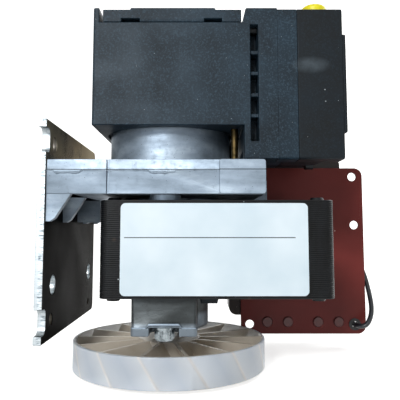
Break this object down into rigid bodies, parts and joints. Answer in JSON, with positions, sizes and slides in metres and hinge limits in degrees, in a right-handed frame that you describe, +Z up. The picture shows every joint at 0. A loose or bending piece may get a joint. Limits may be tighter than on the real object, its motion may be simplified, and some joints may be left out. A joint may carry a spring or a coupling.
{
  "type": "diaphragm pump",
  "caption": "Diaphragm pump on a wall plate: shaded-pole motor with ring fan, cast crankcase, moulded head with filter lid and plugged port, red panel with terminal box.",
  "frame": {"origin": "centre of the wall plate's outer face", "axes": "+X from the wall plate into the pump, +Y to the pump's back (red plate side), +Z up along the motor shaft"},
  "size_m": [0.1465, 0.1102, 0.1535],
  "materials": {
    "bare_steel": "bare cold-rolled steel, sheared edges",
    "zinc_steel": "zinc plated",
    "ground_steel": "ground",
    "cast_aluminium": "die-cast, as cast with flash",
    "cast_aluminium_grey": "die-cast, dull",
    "black_lacquer_steel": "black dipped laminations",
    "copper": "bare copper",
    "black_moulding": "fine-grained black moulding",
    "dark_moulding": "dark brown-black moulding",
    "white_moulding": "white moulding",
    "winding_tape": "black tape over the winding",
    "label_film": "white film, unprinted",
    "milky_plastic": "translucent natural plastic",
    "brass": "brass-coloured",
    "filter_felt": "felt",
    "black_rubber": "rubber",
    "yellow_plastic": "yellow moulding",
    "red_coating": "red powder coat",
    "red_rivet": "red powder coat",
    "lead_jacket": "smooth black jacket"
  },
  "bodies": {
    "pump_frame": {"bearing_outer_rings": "ground_steel", "bolt_washers": "zinc_steel", "box_rivets": "red_rivet", "bracket_bolts": "zinc_steel", "coil_bobbin": "black_moulding", "coil_core": "black_lacquer_steel", "coil_winding": "winding_tape", "crankcase": "cast_aluminium", "diaphragm": "black_rubber", "filter_pad": "filter_felt", "head_end_plate": "black_moulding", "head_housing": "black_moulding", "head_plate": "black_moulding", "head_screws": "zinc_steel", "head_seal": "black_rubber", "housing_studs": "brass", "intermediate_plate": "black_moulding", "lead": "lead_jacket", "lead_glands": "black_rubber", "lead_grommet": "black_rubber", "lower_bearing_bracket": "cast_aluminium_grey", "mounting_plate": "red_coating", "plate_screws": "zinc_steel", "rating_label": "label_film", "shading_rings": "copper", "stack_rivets": "zinc_steel", "stator_stack": "black_lacquer_steel", "terminal_block": "white_moulding", "terminal_box": "dark_moulding", "terminal_box_cover": "dark_moulding", "valve_discs": "black_rubber", "wall_plate": "bare_steel", "wall_plate_screws": "zinc_steel", "wire_clip": "black_moulding"},
    "shaft": {"motor_shaft": "ground_steel", "rotor_core": "bare_steel", "rotor_cage": "cast_aluminium", "bearing_inner_rings": "ground_steel", "fan_wheel": "milky_plastic", "fan_clip": "zinc_steel", "eccentric": "bare_steel", "eccentric_set_screw": "zinc_steel", "crank_screw": "zinc_steel", "crank_washer": "zinc_steel", "rod_bearing_inner_ring": "ground_steel"},
    "rod": {"rod_bearing_outer_ring": "ground_steel", "connecting_rod": "cast_aluminium", "support_disc": "cast_aluminium", "clamp_disc": "cast_aluminium", "diaphragm_screw": "zinc_steel"},
    "lid": {"filter_lid": "black_moulding"},
    "plug": {"port_plug": "yellow_plastic"}
  },
  "joints": [
    {"name": "shaft_spin", "type": "hinge", "parent": "pump_frame", "child": "shaft", "pos_m": [0.045, 0, 0], "axis": [0, 0, 1], "continuous": true, "deforming": ["diaphragm"]},
    {"name": "rod_orbit", "type": "hinge", "parent": "shaft", "child": "rod", "pos_m": [0.043, 0, 0.057], "axis": [0, 0, 1], "continuous": true},
    {"name": "lid_lift", "type": "slide", "parent": "pump_frame", "child": "lid", "axis": [0, 0, 1], "range_m": [0, 0.02]},
    {"name": "plug_pull", "type": "slide", "parent": "pump_frame", "child": "plug", "axis": [0, 0, 1], "range_m": [0, 0.014]}
  ],
  "couplings": [
    {"joint": "rod_orbit", "follows": "shaft_spin", "ratio": -1}
  ]
}
